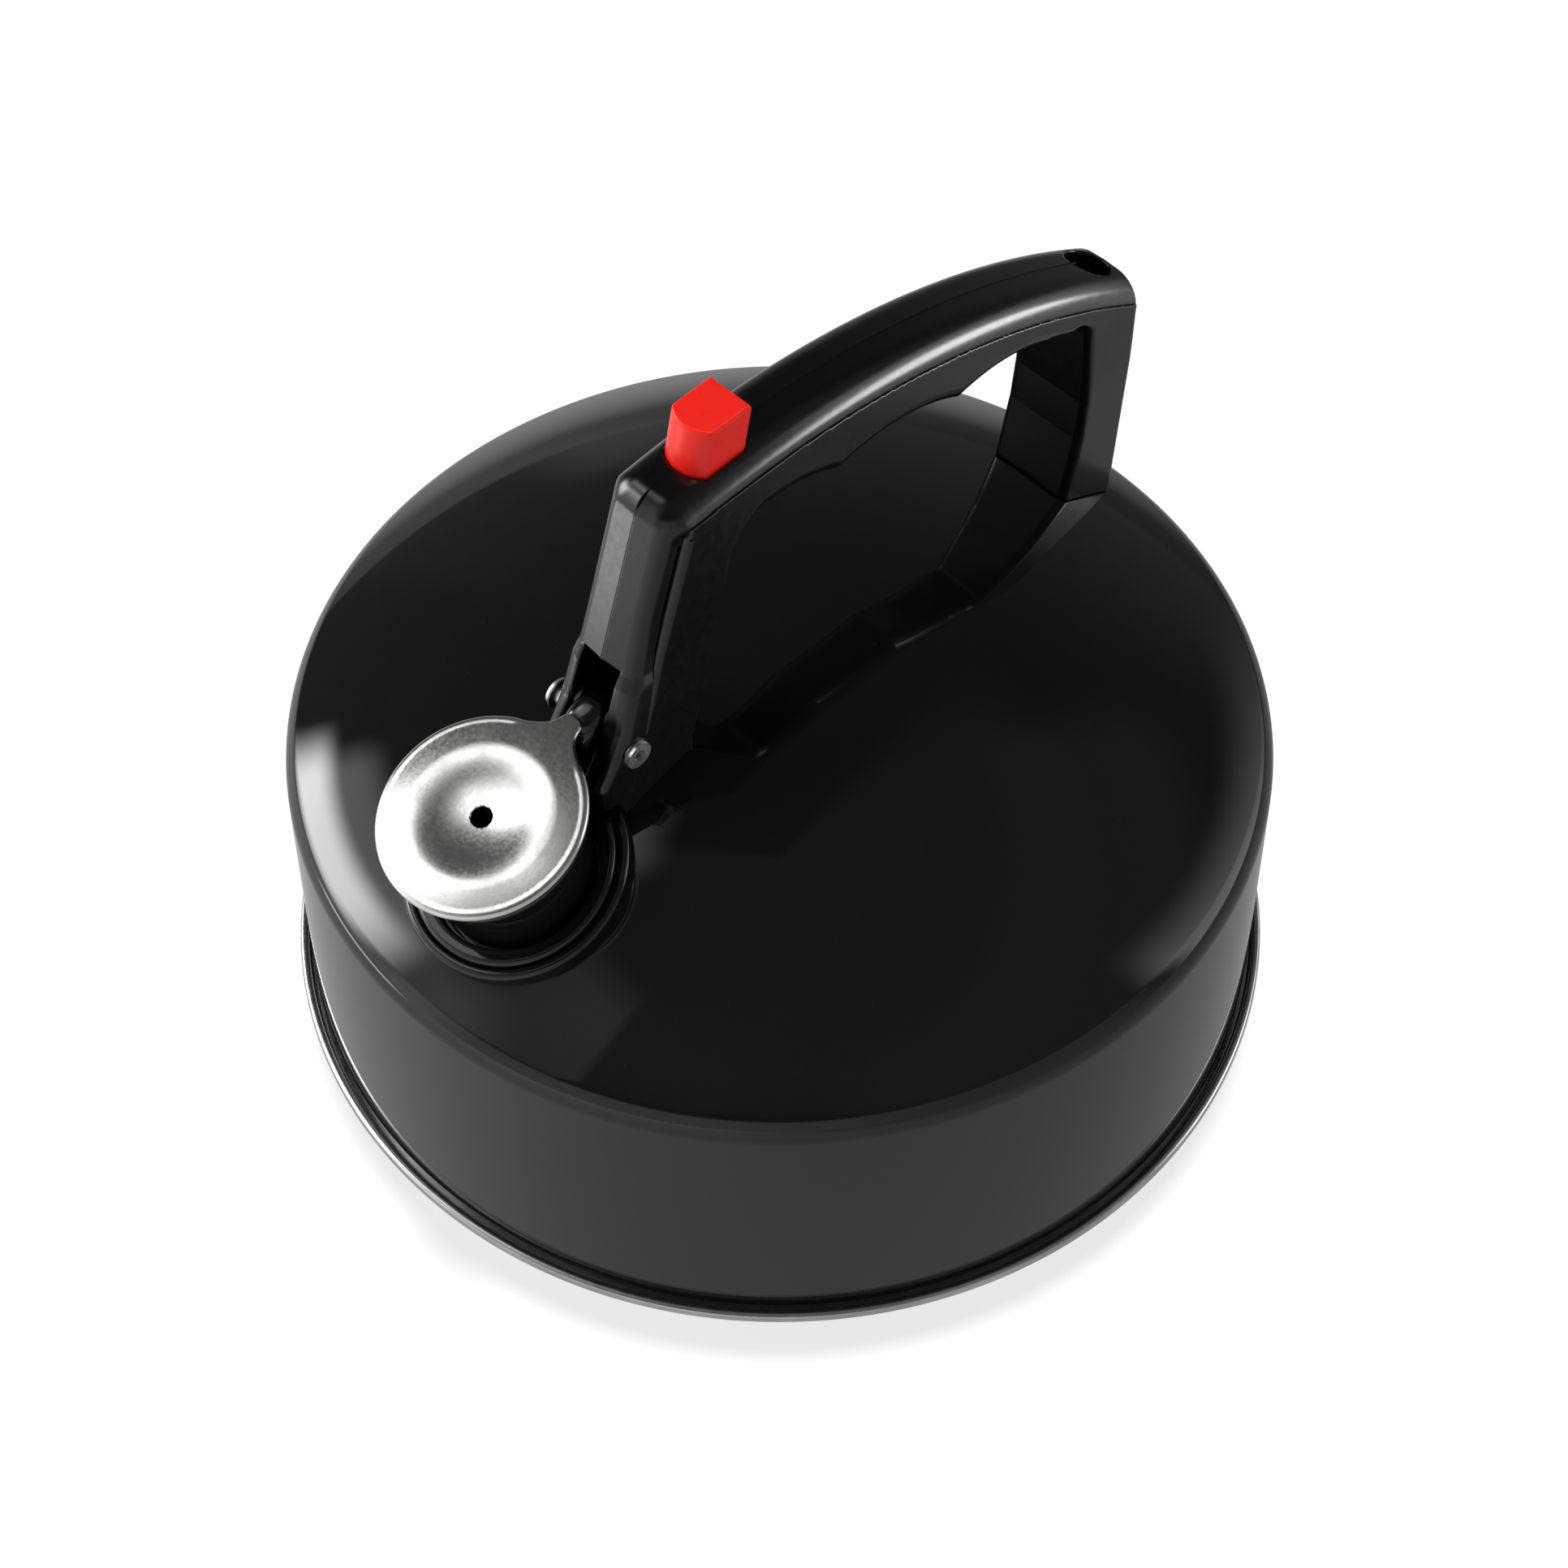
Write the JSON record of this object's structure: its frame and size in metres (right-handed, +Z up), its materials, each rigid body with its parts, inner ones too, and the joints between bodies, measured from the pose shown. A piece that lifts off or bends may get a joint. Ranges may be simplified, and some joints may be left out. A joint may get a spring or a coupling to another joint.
{
  "type": "stovetop whistling kettle",
  "caption": "Round stovetop kettle with an arched handle, a push button in the handle that lifts the whistling spout cap, and a rolled steel base ring.",
  "frame": {"origin": "middle of the base ring, on the surface that the kettle stands on", "axes": "+Z up; +X towards the spout; +Y to the left of the spout, seen from behind the handle"},
  "size_m": [0.2, 0.2, 0.1646],
  "materials": {
    "enamel": "glossy black enamel",
    "base_steel": "bare rolled steel",
    "disc_aluminium": "matt",
    "handle_plastic": "semi-gloss moulded black",
    "bracket_paint": "black paint",
    "lever_plastic": "glossy moulded black",
    "button_plastic": "glossy moulded red",
    "cap_steel": "polished sheet steel",
    "bright_steel": "bright",
    "plain_steel": "satin",
    "dark_steel": "dark"
  },
  "bodies": {
    "kettle": {"body_shell": "enamel", "base_pan": "base_steel", "heat_disc": "disc_aluminium", "spout_neck": "enamel", "spout_collar": "enamel", "neck_lock_ring": "plain_steel", "handle": "handle_plastic", "front_bracket": "bracket_paint", "pivot_rivet": "bright_steel", "rivet_washer_left": "dark_steel", "rivet_washer_right": "dark_steel", "rear_stud": "plain_steel", "rear_screw": "plain_steel", "rear_washer": "plain_steel", "rear_lock_washer": "dark_steel"},
    "plunger": {"button": "button_plastic", "push_rod": "plain_steel", "rod_clip": "dark_steel", "button_spring": "plain_steel"},
    "cap": {"cap_lever": "lever_plastic", "cap_plate": "cap_steel", "whistle_plate": "cap_steel", "cap_rivet": "bright_steel"}
  },
  "joints": [
    {"name": "cap_hinge", "type": "hinge", "parent": "kettle", "child": "cap", "pos_m": [0.0471, 0, 0.103], "axis": [0, -1, 0], "range_deg": [0, 40.1]},
    {"name": "button_slide", "type": "slide", "parent": "kettle", "child": "plunger", "axis": [0.2079, 0, -0.9781], "range_m": [0, 0.0085], "stiffness_N_per_m": 120, "springref_m": -0.005, "deforming": ["button_spring"]}
  ],
  "couplings": [
    {"joint": "button_slide", "follows": "cap_hinge", "m_per_rad": 0.01214}
  ]
}
